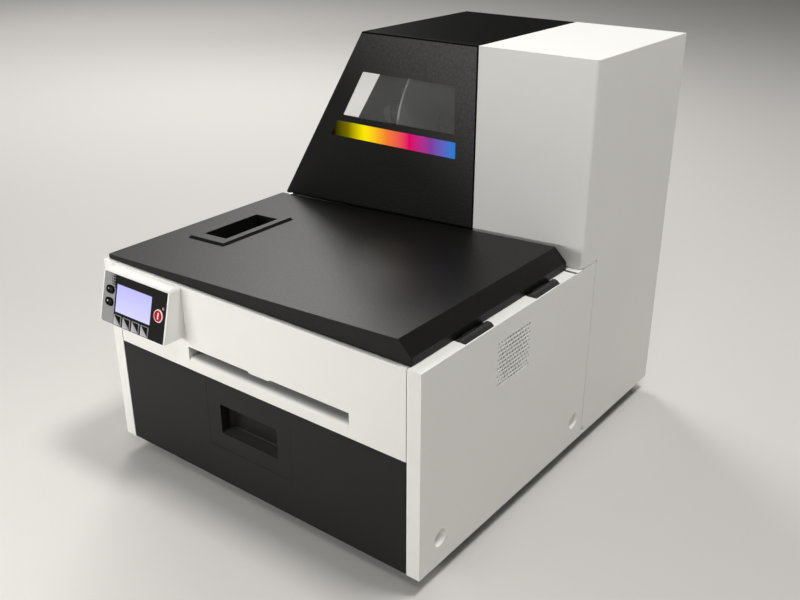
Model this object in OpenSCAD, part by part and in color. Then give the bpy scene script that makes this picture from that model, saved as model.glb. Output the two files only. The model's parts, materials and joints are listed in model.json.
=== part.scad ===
// Label printer: sheet metal cabinet with a hinged lid, a media cover, a front door and a tilted control panel.
// Millimetres. X to the right, Y from front to rear, Z up.
// The origin is under the middle of the whole object, at the bottom of the feet.

/* [Cabinet] */
// width over the side panels
body_w = 440; // [420:1:460]
// depth from the front panel to the rear panel
body_d = 513; // [505:1:540]
// height of the side panels above the underside
side_h = 226; // [222:0.5:236]
// height of the tower above the underside
tower_h = 450.5; // [440:0.5:480]
// distance from the front panel to the tower front
tower_y = 293.4; // [289:0.1:297]
// seam between the right side panel and the tower shell
seam_y = 328; // [320:0.5:336]
// split between the media cover and the tower
split_x = 78; // [70:0.5:90]
// sheet thickness
sheet = 1.5; // [1.2:0.1:2]
// gap between neighbouring sheets
gap = 0.3; // [0.2:0.05:0.5]
// width of the side panel returns at the front
return_w = 15.6; // [12:0.1:20]
// height of the feet
foot_h = 18; // [10:1:30]
// radius of the feet
foot_r = 14; // [8:0.5:18]

/* [Lid] */
// front edge of the lid
lid_y0 = 4.6; // [3:0.1:8]
// gap between the lid and the tower front
lid_rear_gap = 8.9; // [6:0.1:12]
// left inset of the lid
lid_left = 2; // [1:0.1:4]
// right inset of the lid, room for the hinges
lid_right = 14.3; // [14:0.1:18]
// height of the lid top at the left, above the side panels
lid_low = 4.9; // [4:0.1:8]
// height of the lid top at the right, above the side panels
lid_high = 23.7; // [20:0.1:30]
// fall of the bevel at the right
lid_bevel = 14.5; // [10:0.1:16]
// width of the bevel
lid_bevel_w = 14.8; // [10:0.1:18]
// gap under the lid
lid_gap = 0.5; // [0.4:0.1:1]
// lid handle centre in x
grip_x = -153; // [-160:1:-140]
// lid handle centre in y
grip_y = 148; // [130:1:170]
// outer width of the lid handle
grip_w = 59; // [54:1:62]
// outer length of the lid handle
grip_l = 115; // [105:1:125]
// height of the lid handle rim
grip_h = 3; // [2:0.1:4]
// depth of the finger cup
cup_d = 14; // [10:0.5:16]

/* [Front] */
// height of the door top above the underside
door_h = 128.4; // [124:0.1:132]
// left end of the label slot
slot_x = -89; // [-92:0.5:-84]
// width of the label slot
slot_w = 225; // [215:1:228]
// bottom of the label slot above the door top
slot_up = 15.4; // [14:0.1:18]
// height of the label slot
slot_h = 12.9; // [8:0.1:16]
// outer radius of the bent lip of the label slot
lip_r = 4; // [3:0.1:6]
// left end of the handle pocket
pocket_x = -46; // [-60:1:-30]
// width of the handle pocket
pocket_w = 83.4; // [70:0.1:100]
// bottom of the handle pocket
pocket_z = 65.1; // [60:0.1:70]
// height of the handle pocket
pocket_h = 35.5; // [30:0.1:40]
// depth of the handle pocket
pocket_d = 17; // [12:0.5:19]

/* [Control panel] */
// left end of the housing from the left side of the cabinet
panel_in = 20; // [16.5:0.5:26]
// width of the housing
panel_w = 108; // [106:0.5:116]
// depth of the housing at its bottom
panel_d0 = 29; // [26:0.1:34]
// depth of the housing at its top
panel_d1 = 14; // [12:0.1:18]
// height of the housing
panel_h = 57.6; // [54:0.1:60]
// travel of the keys
key_travel = 0.8; // [0.5:0.1:0.9]

/* [Media] */
// radius of the media flanges
flange_r = 96; // [80:1:97]
// radius of the spindle
spindle_r = 12; // [10:0.5:14]
// running clearance of shafts in bores
run = 0.05; // [0.03:0.01:0.08]
// rest place of the sliding flange
slide_x = -49; // [-50:1:-35]

/* [Hidden] */
$fn = 64;
half = body_w / 2;
inner_x = half - sheet;
inner_y = body_d - sheet;
front_seam = 1;
flange_t = 16;
tray_y = 14;
front_x = half - return_w - front_seam;
deck_z = door_h - 0.4;
front_z = door_h + 0.7;
media_y = tower_y - 7.4;
deck_y1 = inner_y - sheet - gap;
ledge_w = 14.5;
dish_y = [34, seam_y - 24];
dish_z = 31;
dish_r = 9.5;
dish_d = 6;
vent_y = 157;
vent_z = side_h - 45.5;
vent_step = 5.3;
vent_r = 1.9;

// Lid hinges
lid_axis_x = inner_x - 6.5;
lid_axis_z = side_h - 3;
knuckle_r = 6.2;
knuckle_l = 49;
lid_hinge_y = [71, 199.5];
pin_r = 1.5;
lid_x0 = -half + lid_left;
lid_x1 = half - lid_right;
lid_y1 = tower_y - lid_rear_gap;
lid_z0 = side_h + lid_gap;
bevel_x = lid_x1 - lid_bevel_w;
lid_slope = atan2(lid_high - lid_low, bevel_x - lid_x0);
lid_corner = 2.5;
function lid_top(x) = side_h + lid_low + (x - lid_x0) * tan(lid_slope);

// Media cover
cover_z0 = side_h + 3;
tower_z0 = side_h + 0.8;
cover_zb = side_h + 5;
cover_rise = 9;
cover_xb = -inner_x;
cover_lean = 134.8 / 219.5;
cover_xt = cover_xb + (tower_h - cover_zb) * cover_lean;
cover_x1 = split_x - gap;
cover_y1 = inner_y - gap;
wall_x = sheet * sqrt(1 + cover_lean * cover_lean);
function slant(z) = cover_xb + (z - cover_zb) * cover_lean;
fold = 5;
seam = 0.6;
window_z0 = tower_h - 102.5;
window_z1 = tower_h - 46.5;
window_x1 = split_x - 29;
strip_z0 = tower_h - 129.5;
strip_z1 = tower_h - 110.5;
side_window_y = [tower_y + 11.6, tower_y + 84.6];
side_window_z = [tower_h - 146.5, tower_h - 50.5];
barrel_r = 3.5;
cover_axis_y = body_d + barrel_r + 0.5;
cover_axis_z = tower_h - barrel_r - 2;
cover_hinge_x = [cover_xt + 13.7, split_x - 58];
rear_top = tower_h - 4;

// Front door pivots
door_axis_y = 5;
door_axis_z = 6;
lug_r = 3.2;
pocket_slant = 5;
fit = 0.1;
lug_x = front_x - 5.1;
lug_w = 3;
door_tab_x = lug_x + lug_w + gap;
bezel = [pocket_x - 20, pocket_z - 20, pocket_w + 40, pocket_h + 40.5];

// Control panel
panel_x = -half + panel_in;
panel_z = side_h - 0.5 - panel_h;
tilt = atan2(panel_d0 - panel_d1, panel_h);
face_l = sqrt(panel_h * panel_h + (panel_d0 - panel_d1) * (panel_d0 - panel_d1));
edge_r = 3.5;
face_flat = face_l - edge_r / tan((90 + tilt) / 2);
panel_wall = 2.5;
cover_t = 0.6;
key_w = 12.4;
key_l = 11.5;
key_v = 1.3;
key_u = [23.9, 39.1, 54.2, 69.3];
key_out = 1;
pill_w = 14.3;
pill_h = 8.9;
pill_u = 14;
pill_v = [24.3, 38.1];
power_u = 95.3;
power_v = 29.5;
power_r = 7;
lamp = [101.7, 38.7];
lamp_r = 1.3;
screen = [24.6, 15.7, 58, 31.2];
play = 0.2;

// Media spindle
wall_x0 = half - 79;
wall_t = 2;
spindle_y = tower_y + 114.6;
spindle_z = tower_h - 122.5;
knob_x = -127;

// Print engine between two plates
plate_l = slot_x - 15;
plate_r = slot_x + slot_w + 14;
plate_t = 2;
plate_y = [24, media_y + 84];
plate_z = deck_z + sheet;
roller_z = slot_bottom() - 2.8;
function slot_bottom() = door_h + slot_up;
roller_r = 9;
pinch_r = 7;
feed_y = 235;
exit_y = 60;
axle_r = 4;
pulley_r = 9;
pulley_x = plate_r + plate_t + 3;
pulley_w = 7;
belt_t = 1.5;
motor_y = 104;
motor_s = 42;
motor_x = plate_r + 18;
motor_x1 = inner_x - 14.5;
motor_z = plate_z + motor_s / 2;

// Fan behind the perforated patch
fan_s = 62;
fan_t = 16;
fan_x = inner_x - fan_t;
fan_r = 25;
fan_hub = 10;

// Whole object
front_most = -panel_d0 + key_v * sin(tilt) - key_out * cos(tilt);
rear_most = cover_axis_y + barrel_r;
y_shift = -(front_most + rear_most) / 2;

// Moves a drawing whose zero is the front panel and the underside into the shared frame
module stand() {
  translate([0, y_shift, foot_h]) children();
}

// Box from one corner to the opposite corner
module box(a, b) {
  translate(a) cube([b[0] - a[0], b[1] - a[1], b[2] - a[2]]);
}

// Outline in x and z, solid from y0 to y1
module along_y(y0, y1) {
  translate([0, y1, 0]) rotate([90, 0, 0]) linear_extrude(y1 - y0) children();
}

// Outline in y and z, solid from x0 to x1
module along_x(x0, x1) {
  translate([x0, 0, 0]) rotate([90, 0, 90]) linear_extrude(x1 - x0) children();
}

module rod_x(x0, x1, y, z, r) {
  translate([x0, y, z]) rotate([0, 90, 0]) cylinder(r = r, h = x1 - x0);
}

module rod_y(y0, y1, x, z, r) {
  translate([x, y1, z]) rotate([90, 0, 0]) cylinder(r = r, h = y1 - y0);
}

module both_sides() {
  children();
  mirror([1, 0, 0]) children();
}

// Control panel face: x along the face, y up the face, z out of the face
module face() {
  translate([panel_x, -panel_d0, panel_z]) rotate([90 - tilt, 0, 0]) children();
}

module base_tray() {
  color("silver") stand() difference() {
    union() {
      box([-inner_x, tray_y, 0], [inner_x, inner_y, sheet]);
      both_sides() box([inner_x - sheet, tray_y, 0], [inner_x, inner_y, flange_t]);
      box([-inner_x, inner_y - sheet, 0], [inner_x, inner_y, flange_t]);
      // lugs that carry the door pivots
      both_sides() along_x(lug_x, lug_x + lug_w) {
        translate([door_axis_y, door_axis_z]) circle(lug_r);
        translate([door_axis_y, door_axis_z - lug_r]) square([tray_y - door_axis_y + 10, 2 * lug_r]);
        translate([tray_y, 0]) square([10, door_axis_z]);
      }
    }
    both_sides() rod_x(lug_x - 1, lug_x + lug_w + 1, door_axis_y, door_axis_z, pin_r + run);
  }
}

module feet() {
  color("dimgray") stand() {
    for (y = [45, body_d - 45]) {
      both_sides() translate([half - 32, y, -foot_h]) cylinder(r1 = foot_r - 2, r2 = foot_r, h = foot_h);
    }
  }
}

module left_side_panel() {
  color("white") stand() difference() {
    union() {
      box([-half, 0, 0], [-inner_x, body_d, side_h]);
      box([-half, 0, 0], [-half + return_w, sheet, side_h]);
      box([-half, 0, side_h - sheet], [-half + return_w, media_y - gap, side_h]);
      box([-half, sheet + gap, side_h - sheet], [-inner_x + 20, media_y - gap, side_h]);
      box([-half + sheet / 2, inner_y - sheet, flange_t + gap], [-inner_x + 14, inner_y, side_h]);
    }
    screw_places() rod_y(inner_y - sheet - 1, inner_y + 1, 0, 0, screw_r + run);
  }
}

module dish_cut() {
  bowl = (dish_r * dish_r + dish_d * dish_d) / (2 * dish_d);
  for (y = dish_y) {
    translate([half + bowl - dish_d, y, dish_z]) sphere(r = bowl);
  }
}

module vent_holes() {
  for (j = [-5 : 5]) {
    holes = (j % 2 == 0) ? 11 : 12;
    for (i = [0 : holes - 1]) {
      translate([vent_y + (i - (holes - 1) / 2) * vent_step, vent_z + j * vent_step * sqrt(3) / 2])
        circle(vent_r, $fn = 8);
    }
  }
}

module right_side_panel() {
  color("white") stand() difference() {
    union() {
      along_x(inner_x, half) difference() {
        square([seam_y - gap, side_h]);
        vent_holes();
        translate([seam_y - 1.4, 4]) square([5, 6]);
      }
      box([half - return_w, 0, 0], [half, sheet, side_h]);
      box([half - return_w, 0, side_h - sheet], [half, seam_y - gap, side_h]);
      box([inner_x - ledge_w, sheet + gap, side_h - sheet], [half, seam_y - gap, side_h]);
      for (y = dish_y) {
        rod_x(inner_x - dish_d - 0.4, inner_x + sheet / 2, y, dish_z, dish_r + 2.5);
      }
    }
    dish_cut();
    // room for the lid hinge knuckles
    for (y = lid_hinge_y) {
      box([inner_x - ledge_w - 1, y - 0.5, side_h - sheet - 1], [inner_x, y + knuckle_l + 0.5, side_h + 1]);
    }
    // slit in the ledge in front of the tower
    box([inner_x - ledge_w - 1, media_y - 5, side_h - sheet], [half + 1, media_y - 0.5, side_h + 1]);
    bend_relief();
  }
}

module front_panel() {
  z0 = slot_bottom();
  color("white") stand() {
    difference() {
      union() {
        box([-front_x, 0, front_z], [front_x, sheet, side_h]);
        box([-inner_x + 21, 0, side_h - sheet], [inner_x - ledge_w - 1, tray_y, side_h]);
        box([-front_x + 4, 0, front_z], [front_x - 4, tray_y - 3, front_z + sheet]);
      }
      box([slot_x, -1, z0 - lip_r], [slot_x + slot_w, sheet + 1, z0 + slot_h]);
    }
    // bent lower lip with a flange that guides the labels
    along_x(slot_x + 1, slot_x + slot_w - 1) {
      intersection() {
        translate([lip_r, z0 - lip_r]) difference() {
          circle(lip_r);
          circle(lip_r - sheet);
        }
        translate([0, z0 - lip_r]) square([lip_r, lip_r]);
      }
      translate([0, z0 - lip_r - 1]) square([sheet, 1]);
      translate([lip_r, z0 - sheet]) square([16, sheet]);
    }
    // cheeks at both ends of the slot
    for (x = [slot_x - sheet, slot_x + slot_w]) {
      box([x, 0, z0 - lip_r - 1], [x + sheet, tray_y, z0 + slot_h + 2]);
    }
    // tab at the top edge of the slot
    along_y(0, sheet) translate([slot_x + 90, z0 + slot_h])
      polygon([[0, 1], [0, 0], [2, -2], [29, -2], [31, 0], [31, 1]]);
  }
}

module engine_deck() {
  color("silver") stand() difference() {
    box([-inner_x, 12, deck_z], [inner_x, plate_y[1] + 2, deck_z + sheet]);
    // cable and tube passages
    box([-half + 30, 250, deck_z - 1], [-half + 90, 290, deck_z + sheet + 1]);
    box([half - 50, 250, deck_z - 1], [half - 20, 290, deck_z + sheet + 1]);
  }
}

module media_deck() {
  color("silver") stand() difference() {
    union() {
      box([-inner_x, media_y, side_h - sheet], [inner_x, deck_y1, side_h]);
      // dust lip behind the lower edge of the cover front
      box([-inner_x + 14, tower_y + sheet + 3, side_h - 1], [split_x, tower_y + 2 * sheet + 3, side_h + 14]);
    }
    box([inner_x - ledge_w - gap, media_y - 1, 0], [half, seam_y, tower_h]);
    // slot that the label web runs through
    box([slot_x - 3, tower_y + 24.6, 0], [slot_x + slot_w + 3, tower_y + 38.6, tower_h]);
  }
}

module rear_panel() {
  color("white") stand() difference() {
    union() {
      along_y(inner_y, body_d) polygon([[-inner_x, 0], [inner_x, 0], [inner_x, rear_top],
        [slant(rear_top), rear_top], [-inner_x, cover_zb]]);
    }
    // power inlet and data port openings
    box([inlet_x - 14, inner_y - 1, inlet_z - 10.5], [inlet_x + 14, body_d + 1, inlet_z + 10.5]);
    for (i = [0 : 1]) {
      box([port_x + i * 24 - 8, inner_y - 1, port_z - 7], [port_x + i * 24 + 8, body_d + 1, port_z + 7]);
    }
    // air slots of the power supply and of the tower
    for (i = [0 : 8]) {
      box([supply_x + 12 + i * 9, inner_y - 1, 26], [supply_x + 16 + i * 9, body_d + 1, 70]);
      box([wall_x0 + 12 + i * 7, inner_y - 1, tower_h - 90], [wall_x0 + 15 + i * 7, body_d + 1, tower_h - 40]);
    }
    screw_places() rod_y(inner_y - 1, body_d + 1, 0, 0, screw_r + run);
  }
}
inlet_x = half - 52;
inlet_z = 48;
port_x = half - 62;
port_z = 150;
supply_x = half - 200;
screw_r = 2;

module screw_places() {
  for (z = [60, side_h / 2, side_h - 30]) {
    both_sides() translate([inner_x - 8, 0, z]) children();
  }
}

module rear_screws() {
  color("gray") stand() screw_places() {
    rod_y(inner_y - sheet - 4, body_d + 0.5, 0, 0, screw_r);
    rod_y(body_d, body_d + 2, 0, 0, 3.8);
  }
}

// Small round cuts at the ends of the tower's lower edge
module bend_relief() {
  for (y = [tower_y + 4, seam_y]) {
    rod_x(inner_x - 1, half + 1, y, side_h + 0.4, 1.5);
  }
}

module tower_shell() {
  bend = 3;
  color("white") stand() difference() {
    union() {
      translate([0, 0, tower_z0]) linear_extrude(tower_h - tower_z0) {
        translate([split_x + gap, tower_y]) square([half - bend - split_x - gap, sheet]);
        translate([inner_x, tower_y + bend]) square([sheet, body_d - tower_y - bend]);
        intersection() {
          translate([half - bend, tower_y + bend]) difference() {
            circle(bend);
            circle(bend - sheet);
          }
          translate([half - bend, tower_y]) square([bend, bend]);
        }
      }
      // lower part of the side behind the seam
      box([inner_x, seam_y + gap, 0], [half, body_d, tower_z0 + 1]);
      // fold and rail at the top, return at the rear
      box([split_x + gap, tower_y, tower_h - sheet], [inner_x - 2, tower_y + fold, tower_h]);
      box([inner_x - 10, tower_y + 2, tower_h - 2 * sheet], [half - sheet / 2, inner_y - 4, tower_h - sheet]);
      box([inner_x - 14, inner_y - sheet, flange_t + gap], [half - sheet / 2, inner_y, rear_top - 4]);
    }
    box([inner_x - 1, seam_y - 2, 4], [half + 1, seam_y + 6, 10]);
    bend_relief();
    screw_places() rod_y(inner_y - sheet - 1, inner_y + 1, 0, 0, screw_r + run);
  }
}

module tower_top() {
  color("white") stand() {
    box([split_x + gap, tower_y + fold + seam, tower_h - sheet], [inner_x - gap, body_d, tower_h]);
    // strip that stiffens the left edge
    box([split_x + gap, tower_y + fold + seam, tower_h - 6], [split_x + gap + sheet, rear_y_clear, tower_h]);
  }
}
rear_y_clear = inner_y - 4;

module media_wall() {
  color("silver") stand() difference() {
    union() {
      box([wall_x0, tower_y + 6, side_h], [wall_x0 + wall_t, inner_y - 2, tower_h - 6.5]);
      box([wall_x0, tower_y + 46, side_h], [wall_x0 + 14, inner_y - 4, side_h + wall_t]);
    }
    rod_x(wall_x0 - 1, wall_x0 + wall_t + 1, spindle_y, spindle_z, spindle_r + 1);
  }
}

module lid_hinge_brackets() {
  color("dimgray") stand() for (y = lid_hinge_y) {
    difference() {
      union() {
        for (s = [0, knuckle_l - 12]) {
          rod_y(y + s, y + s + 12, lid_axis_x, lid_axis_z, knuckle_r);
          box([lid_axis_x, y + s, lid_axis_z - 10], [inner_x, y + s + 12, lid_axis_z]);
        }
        box([inner_x - 2, y, lid_axis_z - 20], [inner_x, y + knuckle_l, lid_axis_z - 8]);
      }
      rod_y(y - 1, y + knuckle_l + 1, lid_axis_x, lid_axis_z, pin_r + run);
    }
  }
}

module lid_hinge_leaves() {
  a = lid_x1 - sheet;
  color("dimgray") stand() for (y = lid_hinge_y) {
    difference() {
      union() {
        rod_y(y + 12 + gap, y + knuckle_l - 12 - gap, lid_axis_x, lid_axis_z, knuckle_r);
        box([a - 2, y + 12 + gap, lid_z0 - 2], [lid_axis_x, y + knuckle_l - 12 - gap, lid_z0]);
        box([a - 2, y + 12 + gap, lid_z0 - 2], [a, y + knuckle_l - 12 - gap, lid_z0 + 7]);
      }
      rod_y(y - 1, y + knuckle_l + 1, lid_axis_x, lid_axis_z, pin_r + run);
    }
  }
}

module hinge_pins() {
  color("silver") stand() {
    for (y = lid_hinge_y) {
      rod_y(y + 0.5, y + knuckle_l - 0.5, lid_axis_x, lid_axis_z, pin_r);
    }
    for (x = cover_hinge_x) {
      rod_x(x + 0.5, x + knuckle_l - 0.5, cover_axis_y, cover_axis_z, pin_r);
    }
  }
}

module cover_hinge_brackets() {
  color("dimgray") stand() for (x = cover_hinge_x) {
    difference() {
      union() {
        for (s = [0, knuckle_l - 12]) {
          rod_x(x + s, x + s + 12, cover_axis_y, cover_axis_z, barrel_r);
          box([x + s, body_d, cover_axis_z - 12], [x + s + 12, body_d + 2, cover_axis_z]);
        }
        box([x, body_d, cover_axis_z - 24], [x + knuckle_l, body_d + 2, cover_axis_z - 8]);
      }
      rod_x(x - 1, x + knuckle_l + 1, cover_axis_y, cover_axis_z, pin_r + run);
    }
  }
}

module cover_hinge_leaves() {
  color("dimgray") stand() for (x = cover_hinge_x) {
    difference() {
      union() {
        rod_x(x + 12 + gap, x + knuckle_l - 12 - gap, cover_axis_y, cover_axis_z, barrel_r);
        box([x + 12 + gap, inner_y - 30, tower_h - sheet - 1.6],
          [x + knuckle_l - 12 - gap, cover_axis_y, tower_h - sheet]);
      }
      rod_x(x - 1, x + knuckle_l + 1, cover_axis_y, cover_axis_z, pin_r + run);
    }
  }
}

module door_pivots() {
  color("silver") stand() both_sides() {
    rod_x(lug_x - 0.5, front_x - 0.1, door_axis_y, door_axis_z, pin_r);
  }
}

// Outline of the control panel housing in y and z, with a rounded top edge at the front
module housing_side() {
  r = edge_r;
  zc = panel_z + panel_h - r;
  yc = -panel_d0 + (zc - panel_z) * tan(tilt) + r / cos(tilt);
  step = (90 - tilt) / 8;
  edge = [for (i = [0 : 8]) [yc - r * cos(tilt + i * step), zc + r * sin(tilt + i * step)]];
  polygon(concat([[0, panel_z], [-panel_d0, panel_z]], edge, [[0, zc + r]]));
}

// Hollow of the housing, open towards the front panel
module housing_hollow() {
  t = panel_wall;
  shift = t / cos(tilt);
  z1 = panel_h - t;
  polygon([[1, panel_z + t], [-panel_d0 + t * tan(tilt) + shift, panel_z + t],
    [-panel_d0 + z1 * tan(tilt) + shift, panel_z + z1], [1, panel_z + z1]]);
}

// Openings of the control panel in face coordinates, widened by c
module key_outlines(c) {
  for (u = key_u) {
    translate([u - c, key_v - c]) square([key_w + 2 * c, key_l + 2 * c]);
  }
}

module pill(c) {
  translate([-pill_w / 2 + pill_h / 2, 0]) circle(pill_h / 2 + c);
  translate([pill_w / 2 - pill_h / 2, 0]) circle(pill_h / 2 + c);
  translate([-pill_w / 2 + pill_h / 2, -pill_h / 2 - c]) square([pill_w - pill_h, pill_h + 2 * c]);
}

// Lower left corner of a panel at x and z, rounded with radius r
function corner_arc(x, z, r) = [for (i = [0 : 6]) [x + r - r * cos(i * 15), z + r - r * sin(i * 15)]];

module panel_housing() {
  color("white") stand() difference() {
    along_x(panel_x, panel_x + panel_w) housing_side();
    along_y(-panel_d0 - 1, 1) polygon(concat(corner_arc(panel_x, panel_z, edge_r),
      [[panel_x + edge_r, panel_z - 1], [panel_x - 1, panel_z - 1], [panel_x - 1, panel_z + edge_r]]));
    along_x(panel_x + panel_wall, panel_x + panel_w - panel_wall) housing_hollow();
    face() {
      translate([0, 0, -3.3]) linear_extrude(10) key_outlines(play);
      for (v = pill_v) {
        translate([pill_u, v, -4]) linear_extrude(10) pill(gap);
      }
      translate([power_u, power_v, -4]) cylinder(r = power_r + run, h = 10);
      translate([lamp[0], lamp[1], -4]) cylinder(r = lamp_r + run, h = 10);
      translate([screen[0] - play, screen[1] - play, -4]) cube([screen[2] + 2 * play, screen[3] + 2 * play, 10]);
    }
  }
}

module panel_overlay() {
  color("black") stand() face() linear_extrude(cover_t) difference() {
    polygon(concat(corner_arc(2.5, 0.6, edge_r - 0.5), [[panel_w - 2.3, 0.6], [panel_w - 2.3, face_flat - 0.3],
      [2.5, face_flat - 0.3]]));
    key_outlines(play);
    for (v = pill_v) {
      translate([pill_u, v]) pill(gap);
    }
    translate([power_u, power_v]) circle(power_r + gap);
    translate([lamp[0], lamp[1]]) circle(lamp_r + gap);
    translate([screen[0], screen[1]]) square([screen[2], screen[3]]);
  }
}

module display() {
  color("lavender") stand() face() {
    translate([screen[0], screen[1], -3]) cube([screen[2], screen[3], 3.2]);
  }
}

module power_lamp() {
  color("red") stand() face() translate([lamp[0], lamp[1], -3]) cylinder(r = lamp_r, h = 4);
}

module soft_key(i) {
  color("lightgray") stand() face() translate([key_u[i], key_v, 0]) {
    box([0, 0, -2.4], [key_w, key_l, key_out]);
    box([0, 2.9, -3.7], [key_w, key_l, -2.3]);
    box([-0.8, 2.9, -3.7], [key_w + 0.8, key_l + 0.8, -2.7]);
  }
}

module soft_key_1() {
  soft_key(0);
}

module soft_key_2() {
  soft_key(1);
}

module soft_key_3() {
  soft_key(2);
}

module soft_key_4() {
  soft_key(3);
}

module menu_key(v) {
  color("black") stand() face() translate([pill_u, v, 0]) {
    translate([0, 0, -3.6]) linear_extrude(4.8) pill(0);
    translate([0, 0, -3.7]) linear_extrude(1) pill(1.2);
  }
}

module upper_menu_key() {
  menu_key(pill_v[1]);
}

module lower_menu_key() {
  menu_key(pill_v[0]);
}

module power_button() {
  color("red") stand() face() translate([power_u, power_v, 0]) {
    translate([0, 0, -3.6]) cylinder(r = power_r, h = 5);
    translate([0, 0, -3.7]) cylinder(r = power_r + 1.3, h = 1);
  }
}

// Outline of the lid seen from above, drawn smaller by t, with a rounded front left corner
module lid_plan(t) {
  c = lid_corner;
  translate([lid_x0 + c, lid_y0 + t]) square([lid_x1 - t - lid_x0 - c, lid_y1 - lid_y0 - 2 * t]);
  translate([lid_x0 + t, lid_y0 + c]) square([c, lid_y1 - t - lid_y0 - c]);
  translate([lid_x0 + c, lid_y0 + c]) circle(c - t);
}

// Side profile of the lid in x and z, drawn smaller by t
module lid_profile(t) {
  polygon([[lid_x0 - 1, lid_z0 - 2 * t], [lid_x0 - 1, lid_top(lid_x0 - 1) - t], [bevel_x - t * 0.4, lid_top(bevel_x) - t],
    [lid_x1 - t, lid_top(bevel_x) - lid_bevel - t * 0.4], [lid_x1 - t, lid_z0 - 2 * t]]);
}

module lid() {
  color("black") stand() difference() {
    intersection() {
      along_y(lid_y0, lid_y1) lid_profile(0);
      linear_extrude(tower_h) lid_plan(0);
    }
    intersection() {
      along_y(lid_y0, lid_y1) lid_profile(sheet);
      linear_extrude(tower_h) lid_plan(sheet);
    }
    translate([grip_x, grip_y, lid_top(grip_x)]) rotate([0, -lid_slope, 0])
      box([-grip_w / 2 + 8, -grip_l / 2 + 12, -10], [grip_w / 2 - 8, grip_l / 2 - 12, 10]);
    // seam behind the folded front edge, along the bevel and the right side
    intersection() {
      along_y(lid_y0 + 0.9, lid_y0 + 1.6) difference() {
        lid_profile(-1);
        lid_profile(0.7);
      }
      box([bevel_x, lid_y0, lid_z0 + 1], [half, lid_y0 + 3, tower_h]);
    }
  }
}

module lid_handle() {
  w = grip_w / 2;
  l = grip_l / 2;
  iw = w - 11.5;
  il = l - 15.5;
  color("black") stand() translate([grip_x, grip_y, lid_top(grip_x)]) rotate([0, -lid_slope, 0]) difference() {
    union() {
      // rim with chamfered sides
      intersection() {
        along_y(-l, l) polygon([[-w, 0], [w, 0], [w - 2.5, grip_h], [-w + 2.5, grip_h]]);
        along_x(-w, w) polygon([[-l, 0], [l, 0], [l - 2.5, grip_h], [-l + 2.5, grip_h]]);
      }
      box([-iw - 2, -il - 2, -cup_d - 1.5], [iw + 2, il + 2, 1]);
    }
    box([-iw, -il, -cup_d], [iw, il, grip_h + 1]);
  }
}

module media_cover() {
  color("black") stand() difference() {
    union() {
      along_y(tower_y, tower_y + sheet) polygon([[cover_xb, cover_z0], [cover_x1, cover_z0 + cover_rise],
        [cover_x1, tower_h], [cover_xt, tower_h], [cover_xb, cover_zb]]);
      along_y(tower_y, cover_y1) polygon([[cover_xb, cover_z0], [cover_xb, cover_zb], [cover_xt, tower_h],
        [cover_xt + wall_x, tower_h], [cover_xb + wall_x, cover_zb], [cover_xb + wall_x, cover_z0]]);
      // fold at the top front and rails under the top plate
      box([cover_xt, tower_y, tower_h - sheet], [cover_x1, tower_y + fold, tower_h]);
      box([cover_xt + wall_x / 2 - 1, tower_y, tower_h - 2 * sheet], [cover_xt + 12, cover_y1 - 10, tower_h - sheet]);
      box([cover_xt + 2, tower_y, tower_h - 2 * sheet], [cover_x1, tower_y + fold + 8, tower_h - sheet]);
    }
    // front window opening
    along_y(tower_y - 1, tower_y + sheet + 1) polygon([[slant(window_z0) + 30, window_z0], [window_x1, window_z0],
      [window_x1, window_z1], [slant(window_z1) + 28, window_z1]]);
    // side window opening
    box([cover_xb, side_window_y[0], side_window_z[0]], [cover_xt, side_window_y[1], side_window_z[1]]);
  }
}

module cover_top() {
  color("black") stand() {
    box([cover_xt + wall_x + seam, tower_y + fold + seam, tower_h - sheet], [cover_x1, cover_y1, tower_h]);
  }
}

module front_window() {
  color("gray", 0.5) stand() along_y(tower_y + sheet, tower_y + sheet + 2) {
    polygon([[slant(window_z0) + 23, window_z0 - 6], [window_x1 + 6, window_z0 - 6], [window_x1 + 6, window_z1 + 6],
      [slant(window_z1) + 21, window_z1 + 6]]);
  }
}

module side_window() {
  z0 = side_window_z[0] - 5;
  z1 = side_window_z[1] + 5;
  t = 2 * wall_x / sheet;
  color("gray", 0.5) stand() along_y(side_window_y[0] - 5, side_window_y[1] + 5) {
    polygon([[slant(z0) + wall_x, z0], [slant(z0) + wall_x + t, z0], [slant(z1) + wall_x + t, z1],
      [slant(z1) + wall_x, z1]]);
  }
}

module colour_strip() {
  color("magenta") stand() along_y(tower_y - 0.3, tower_y) {
    polygon([[slant(strip_z0) + 27, strip_z0], [window_x1 + 2, strip_z0], [window_x1 + 2, strip_z1],
      [slant(strip_z1) + 27, strip_z1]]);
  }
}

module front_door() {
  z0 = 0.7;
  color("black") stand() difference() {
    union() {
      box([-front_x, 0, z0], [front_x, sheet, door_h]);
      both_sides() box([door_tab_x, 0, z0 + 1.5], [front_x, 11, door_h]);
      box([-front_x, 0, door_h - sheet], [front_x, 9, door_h]);
    }
    box([bezel[0], -1, bezel[1]], [bezel[0] + bezel[2], sheet + 1, bezel[1] + bezel[3]]);
    both_sides() rod_x(door_tab_x - 1, front_x + 1, door_axis_y, door_axis_z, pin_r + run);
  }
}

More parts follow.
